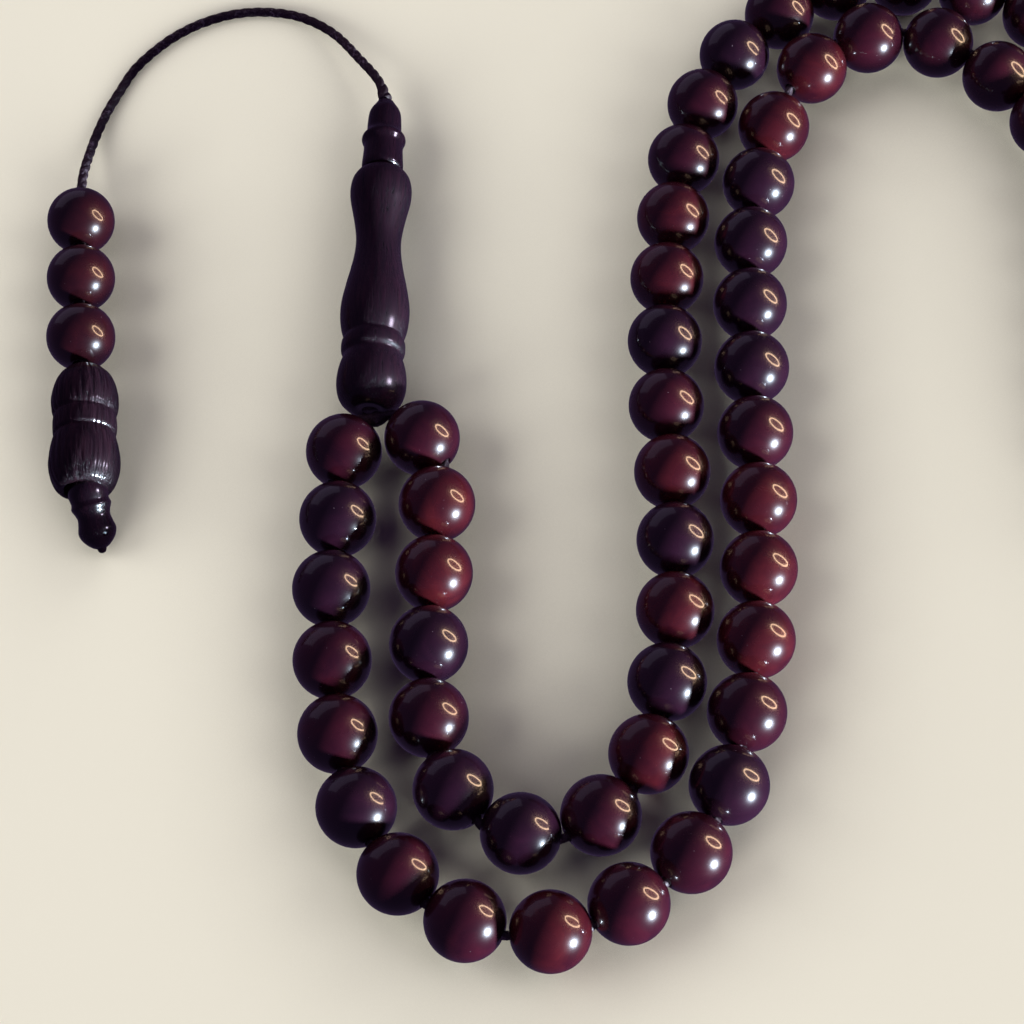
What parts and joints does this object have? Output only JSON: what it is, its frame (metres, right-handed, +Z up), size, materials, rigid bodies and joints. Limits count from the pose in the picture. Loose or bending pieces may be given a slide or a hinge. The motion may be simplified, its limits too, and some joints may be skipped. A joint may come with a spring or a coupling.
{
  "type": "misbaha prayer beads",
  "caption": "String of round polished prayer beads in a closed loop that meets in a turned pillar and cap, with a short tail cord, small beads and a finial.",
  "frame": {"origin": "on the table surface, at the middle of the string's outline as it lies, the free tail cord left out", "axes": "+Z up from the table, +Y from the beads' near turn towards the pillar's cap, +X from the tail towards the far turn"},
  "size_m": [0.1308, 0.124, 0.008],
  "materials": {
    "bead_resin": "polished dark cherry resin",
    "turned_wood": "satin, turned along the grain",
    "cap_wood": "polished",
    "waxed_cord": "waxed, twisted"
  },
  "bodies": {
    "loop": {"loop_cord": "waxed_cord", "outer_bead_run": "bead_resin", "inner_bead_run_1": "bead_resin", "inner_bead_run_2": "bead_resin", "separator": "turned_wood"},
    "pillar_cord": {"pillar_cord": "waxed_cord"},
    "pillar": {"pillar": "turned_wood"},
    "cap": {"cap": "cap_wood"},
    "tail_cord": {"tail_cord": "waxed_cord"},
    "tail_bead_1": {"tail_bead_1": "bead_resin"},
    "tail_bead_2": {"tail_bead_2": "bead_resin"},
    "tail_bead_3": {"tail_bead_3": "bead_resin"},
    "finial_body": {"finial_body": "turned_wood"},
    "finial_tip": {"finial_tip": "turned_wood"},
    "outer_bead_01": {"outer_bead_01": "bead_resin"},
    "outer_bead_02": {"outer_bead_02": "bead_resin"},
    "outer_bead_03": {"outer_bead_03": "bead_resin"},
    "outer_bead_04": {"outer_bead_04": "bead_resin"},
    "outer_bead_05": {"outer_bead_05": "bead_resin"},
    "outer_bead_06": {"outer_bead_06": "bead_resin"},
    "outer_bead_07": {"outer_bead_07": "bead_resin"},
    "outer_bead_08": {"outer_bead_08": "bead_resin"},
    "outer_bead_09": {"outer_bead_09": "bead_resin"},
    "outer_bead_10": {"outer_bead_10": "bead_resin"},
    "outer_bead_11": {"outer_bead_11": "bead_resin"},
    "outer_bead_12": {"outer_bead_12": "bead_resin"},
    "outer_bead_13": {"outer_bead_13": "bead_resin"},
    "outer_bead_14": {"outer_bead_14": "bead_resin"},
    "outer_bead_15": {"outer_bead_15": "bead_resin"},
    "outer_bead_16": {"outer_bead_16": "bead_resin"},
    "outer_bead_17": {"outer_bead_17": "bead_resin"},
    "outer_bead_18": {"outer_bead_18": "bead_resin"},
    "outer_bead_19": {"outer_bead_19": "bead_resin"},
    "outer_bead_20": {"outer_bead_20": "bead_resin"},
    "outer_bead_21": {"outer_bead_21": "bead_resin"},
    "outer_bead_22": {"outer_bead_22": "bead_resin"},
    "outer_bead_23": {"outer_bead_23": "bead_resin"},
    "outer_bead_24": {"outer_bead_24": "bead_resin"},
    "outer_bead_25": {"outer_bead_25": "bead_resin"},
    "inner_bead_01": {"inner_bead_01": "bead_resin"},
    "inner_bead_02": {"inner_bead_02": "bead_resin"},
    "inner_bead_03": {"inner_bead_03": "bead_resin"},
    "inner_bead_04": {"inner_bead_04": "bead_resin"},
    "inner_bead_05": {"inner_bead_05": "bead_resin"},
    "inner_bead_06": {"inner_bead_06": "bead_resin"},
    "inner_bead_07": {"inner_bead_07": "bead_resin"},
    "inner_bead_08": {"inner_bead_08": "bead_resin"},
    "inner_bead_09": {"inner_bead_09": "bead_resin"},
    "inner_bead_10": {"inner_bead_10": "bead_resin"},
    "inner_bead_11": {"inner_bead_11": "bead_resin"},
    "inner_bead_12": {"inner_bead_12": "bead_resin"},
    "inner_bead_13": {"inner_bead_13": "bead_resin"},
    "inner_bead_14": {"inner_bead_14": "bead_resin"},
    "inner_bead_15": {"inner_bead_15": "bead_resin"},
    "inner_bead_16": {"inner_bead_16": "bead_resin"},
    "inner_bead_17": {"inner_bead_17": "bead_resin"},
    "inner_bead_18": {"inner_bead_18": "bead_resin"},
    "inner_bead_19": {"inner_bead_19": "bead_resin"},
    "inner_bead_20": {"inner_bead_20": "bead_resin"},
    "inner_bead_21": {"inner_bead_21": "bead_resin"}
  },
  "joints": [
    {"name": "pillar_swing", "type": "hinge", "parent": "loop", "child": "pillar_cord", "pos_m": [-0.02827, -0.00141, 0.004], "axis": [0, 0, 1], "range_deg": [-6, 6]},
    {"name": "tail_swing", "type": "hinge", "parent": "pillar_cord", "child": "tail_cord", "pos_m": [-0.02826, 0.04048, 0.0038], "axis": [0, 0, 1], "range_deg": [-15, 15]},
    {"name": "pillar_turn", "type": "hinge", "parent": "pillar_cord", "child": "pillar", "pos_m": [-0.02897, -0.00021, 0.0038], "axis": [0.0175, 0.9998, 0], "continuous": true},
    {"name": "cap_turn", "type": "hinge", "parent": "pillar_cord", "child": "cap", "pos_m": [-0.02843, 0.03078, 0.0038], "axis": [0.0175, 0.9998, 0], "continuous": true},
    {"name": "tail_bead_1_turn", "type": "hinge", "parent": "tail_cord", "child": "tail_bead_1", "pos_m": [-0.06167, 0.02419, 0.0037], "axis": [0.0785, -0.9969, 0], "continuous": true},
    {"name": "tail_bead_2_turn", "type": "hinge", "parent": "tail_cord", "child": "tail_bead_2", "pos_m": [-0.06107, 0.01661, 0.0037], "axis": [0.0785, -0.9969, 0], "continuous": true},
    {"name": "tail_bead_3_turn", "type": "hinge", "parent": "tail_cord", "child": "tail_bead_3", "pos_m": [-0.06048, 0.00904, 0.0037], "axis": [0.0785, -0.9969, 0], "continuous": true},
    {"name": "finial_body_turn", "type": "hinge", "parent": "tail_cord", "child": "finial_body", "pos_m": [-0.05967, 0.00509, 0.0038], "axis": [0.0715, -0.9974, 0], "continuous": true},
    {"name": "finial_tip_turn", "type": "hinge", "parent": "tail_cord", "child": "finial_tip", "pos_m": [-0.05818, -0.01017, 0.0038], "axis": [0.2477, -0.864, -0.4384], "continuous": true},
    {"name": "outer_bead_01_turn", "type": "hinge", "parent": "loop", "child": "outer_bead_01", "pos_m": [-0.03157, -0.00531, 0.004], "axis": [-0.2419, -0.9703, 0], "continuous": true},
    {"name": "outer_bead_02_turn", "type": "hinge", "parent": "loop", "child": "outer_bead_02", "pos_m": [-0.03196, -0.01335, 0.004], "axis": [0.0698, -0.9976, 0], "continuous": true},
    {"name": "outer_bead_03_turn", "type": "hinge", "parent": "loop", "child": "outer_bead_03", "pos_m": [-0.03237, -0.02139, 0.004], "axis": [-0.002, -1, 0], "continuous": true},
    {"name": "outer_bead_04_turn", "type": "hinge", "parent": "loop", "child": "outer_bead_04", "pos_m": [-0.03199, -0.02943, 0.004], "axis": [0.0726, -0.9974, 0], "continuous": true},
    {"name": "outer_bead_05_turn", "type": "hinge", "parent": "loop", "child": "outer_bead_05", "pos_m": [-0.0312, -0.03744, 0.004], "axis": [0.1795, -0.9838, 0], "continuous": true},
    {"name": "outer_bead_06_turn", "type": "hinge", "parent": "loop", "child": "outer_bead_06", "pos_m": [-0.02911, -0.04522, 0.004], "axis": [0.3954, -0.9185, 0], "continuous": true},
    {"name": "outer_bead_07_turn", "type": "hinge", "parent": "loop", "child": "outer_bead_07", "pos_m": [-0.0249, -0.05208, 0.004], "axis": [0.6801, -0.7331, 0], "continuous": true},
    {"name": "outer_bead_08_turn", "type": "hinge", "parent": "loop", "child": "outer_bead_08", "pos_m": [-0.01837, -0.05679, 0.004], "axis": [0.9305, -0.3664, 0], "continuous": true},
    {"name": "outer_bead_09_turn", "type": "hinge", "parent": "loop", "child": "outer_bead_09", "pos_m": [-0.01019, -0.05787, 0.004], "axis": [0.9941, 0.108, 0], "continuous": true},
    {"name": "outer_bead_10_turn", "type": "hinge", "parent": "loop", "child": "outer_bead_10", "pos_m": [-0.00264, -0.05508, 0.004], "axis": [0.8647, 0.5023, 0], "continuous": true},
    {"name": "outer_bead_11_turn", "type": "hinge", "parent": "loop", "child": "outer_bead_11", "pos_m": [0.00352, -0.0499, 0.004], "axis": [0.6388, 0.7693, 0], "continuous": true},
    {"name": "outer_bead_12_turn", "type": "hinge", "parent": "loop", "child": "outer_bead_12", "pos_m": [0.00748, -0.04289, 0.004], "axis": [0.3788, 0.9255, 0], "continuous": true},
    {"name": "outer_bead_13_turn", "type": "hinge", "parent": "loop", "child": "outer_bead_13", "pos_m": [0.00957, -0.03512, 0.004], "axis": [0.2094, 0.9778, 0], "continuous": true},
    {"name": "outer_bead_14_turn", "type": "hinge", "parent": "loop", "child": "outer_bead_14", "pos_m": [0.01085, -0.02717, 0.004], "axis": [0.119, 0.9929, 0], "continuous": true},
    {"name": "outer_bead_15_turn", "type": "hinge", "parent": "loop", "child": "outer_bead_15", "pos_m": [0.01149, -0.01914, 0.004], "axis": [0.0617, 0.9981, 0], "continuous": true},
    {"name": "outer_bead_16_turn", "type": "hinge", "parent": "loop", "child": "outer_bead_16", "pos_m": [0.01184, -0.0111, 0.004], "axis": [0.0227, 0.9997, 0], "continuous": true},
    {"name": "outer_bead_17_turn", "type": "hinge", "parent": "loop", "child": "outer_bead_17", "pos_m": [0.01185, -0.00305, 0.004], "axis": [-0.0001, 1, 0], "continuous": true},
    {"name": "outer_bead_18_turn", "type": "hinge", "parent": "loop", "child": "outer_bead_18", "pos_m": [0.01184, 0.005, 0.004], "axis": [0.01, 0.9999, 0], "continuous": true},
    {"name": "outer_bead_19_turn", "type": "hinge", "parent": "loop", "child": "outer_bead_19", "pos_m": [0.01201, 0.01305, 0.004], "axis": [0.0385, 0.9993, 0], "continuous": true},
    {"name": "outer_bead_20_turn", "type": "hinge", "parent": "loop", "child": "outer_bead_20", "pos_m": [0.01246, 0.02108, 0.004], "axis": [0.1038, 0.9946, 0], "continuous": true},
    {"name": "outer_bead_21_turn", "type": "hinge", "parent": "loop", "child": "outer_bead_21", "pos_m": [0.01368, 0.02904, 0.004], "axis": [0.2054, 0.9787, 0], "continuous": true},
    {"name": "outer_bead_22_turn", "type": "hinge", "parent": "loop", "child": "outer_bead_22", "pos_m": [0.01576, 0.03682, 0.004], "axis": [0.3923, 0.9198, 0], "continuous": true},
    {"name": "outer_bead_23_turn", "type": "hinge", "parent": "loop", "child": "outer_bead_23", "pos_m": [0.02053, 0.04509, 0.004], "axis": [0.6741, 0.7386, 0], "continuous": true},
    {"name": "outer_bead_24_turn", "type": "hinge", "parent": "loop", "child": "outer_bead_24", "pos_m": [0.02729, 0.04945, 0.004], "axis": [0.97, 0.243, 0], "continuous": true},
    {"name": "outer_bead_25_turn", "type": "hinge", "parent": "loop", "child": "outer_bead_25", "pos_m": [0.03531, 0.04879, 0.004], "axis": [0.9349, -0.3549, 0], "continuous": true},
    {"name": "inner_bead_01_turn", "type": "hinge", "parent": "loop", "child": "inner_bead_01", "pos_m": [-0.02337, -0.00371, 0.004], "axis": [0.6428, -0.766, 0], "continuous": true},
    {"name": "inner_bead_02_turn", "type": "hinge", "parent": "loop", "child": "inner_bead_02", "pos_m": [-0.02168, -0.01158, 0.004], "axis": [-0.1564, -0.9877, 0], "continuous": true},
    {"name": "inner_bead_03_turn", "type": "hinge", "parent": "loop", "child": "inner_bead_03", "pos_m": [-0.02187, -0.01963, 0.004], "axis": [-0.0376, -0.9993, 0], "continuous": true},
    {"name": "inner_bead_04_turn", "type": "hinge", "parent": "loop", "child": "inner_bead_04", "pos_m": [-0.02229, -0.02767, 0.004], "axis": [-0.0178, -0.9998, 0], "continuous": true},
    {"name": "inner_bead_05_turn", "type": "hinge", "parent": "loop", "child": "inner_bead_05", "pos_m": [-0.02215, -0.03572, 0.004], "axis": [0.1655, -0.9862, 0], "continuous": true},
    {"name": "inner_bead_06_turn", "type": "hinge", "parent": "loop", "child": "inner_bead_06", "pos_m": [-0.01965, -0.04337, 0.004], "axis": [0.5995, -0.8003, 0], "continuous": true},
    {"name": "inner_bead_07_turn", "type": "hinge", "parent": "loop", "child": "inner_bead_07", "pos_m": [-0.01301, -0.04792, 0.004], "axis": [0.9832, -0.1824, 0], "continuous": true},
    {"name": "inner_bead_08_turn", "type": "hinge", "parent": "loop", "child": "inner_bead_08", "pos_m": [-0.00518, -0.04605, 0.004], "axis": [0.8354, 0.5497, 0], "continuous": true},
    {"name": "inner_bead_09_turn", "type": "hinge", "parent": "loop", "child": "inner_bead_09", "pos_m": [-0.00037, -0.0396, 0.004], "axis": [0.4347, 0.9006, 0], "continuous": true},
    {"name": "inner_bead_10_turn", "type": "hinge", "parent": "loop", "child": "inner_bead_10", "pos_m": [0.00169, -0.03182, 0.004], "axis": [0.1936, 0.9811, 0], "continuous": true},
    {"name": "inner_bead_11_turn", "type": "hinge", "parent": "loop", "child": "inner_bead_11", "pos_m": [0.00274, -0.02384, 0.004], "axis": [0.0806, 0.9967, 0], "continuous": true},
    {"name": "inner_bead_12_turn", "type": "hinge", "parent": "loop", "child": "inner_bead_12", "pos_m": [0.00298, -0.01579, 0.004], "axis": [0.0113, 0.9999, 0], "continuous": true},
    {"name": "inner_bead_13_turn", "type": "hinge", "parent": "loop", "child": "inner_bead_13", "pos_m": [0.00292, -0.00774, 0.004], "axis": [-0.0283, 0.9996, 0], "continuous": true},
    {"name": "inner_bead_14_turn", "type": "hinge", "parent": "loop", "child": "inner_bead_14", "pos_m": [0.00253, 0.0003, 0.004], "axis": [-0.0195, 0.9998, 0], "continuous": true},
    {"name": "inner_bead_15_turn", "type": "hinge", "parent": "loop", "child": "inner_bead_15", "pos_m": [0.00261, 0.00835, 0.004], "axis": [0.0334, 0.9994, 0], "continuous": true},
    {"name": "inner_bead_16_turn", "type": "hinge", "parent": "loop", "child": "inner_bead_16", "pos_m": [0.00307, 0.01639, 0.004], "axis": [0.0859, 0.9963, 0], "continuous": true},
    {"name": "inner_bead_17_turn", "type": "hinge", "parent": "loop", "child": "inner_bead_17", "pos_m": [0.00399, 0.02438, 0.004], "axis": [0.1452, 0.9894, 0], "continuous": true},
    {"name": "inner_bead_18_turn", "type": "hinge", "parent": "loop", "child": "inner_bead_18", "pos_m": [0.0054, 0.03231, 0.004], "axis": [0.2379, 0.9713, 0], "continuous": true},
    {"name": "inner_bead_19_turn", "type": "hinge", "parent": "loop", "child": "inner_bead_19", "pos_m": [0.00782, 0.03999, 0.004], "axis": [0.3949, 0.9187, 0], "continuous": true},
    {"name": "inner_bead_20_turn", "type": "hinge", "parent": "loop", "child": "inner_bead_20", "pos_m": [0.01173, 0.04702, 0.004], "axis": [0.5871, 0.8095, 0], "continuous": true},
    {"name": "inner_bead_21_turn", "type": "hinge", "parent": "loop", "child": "inner_bead_21", "pos_m": [0.0172, 0.05293, 0.004], "axis": [0.771, 0.6369, 0], "continuous": true}
  ]
}
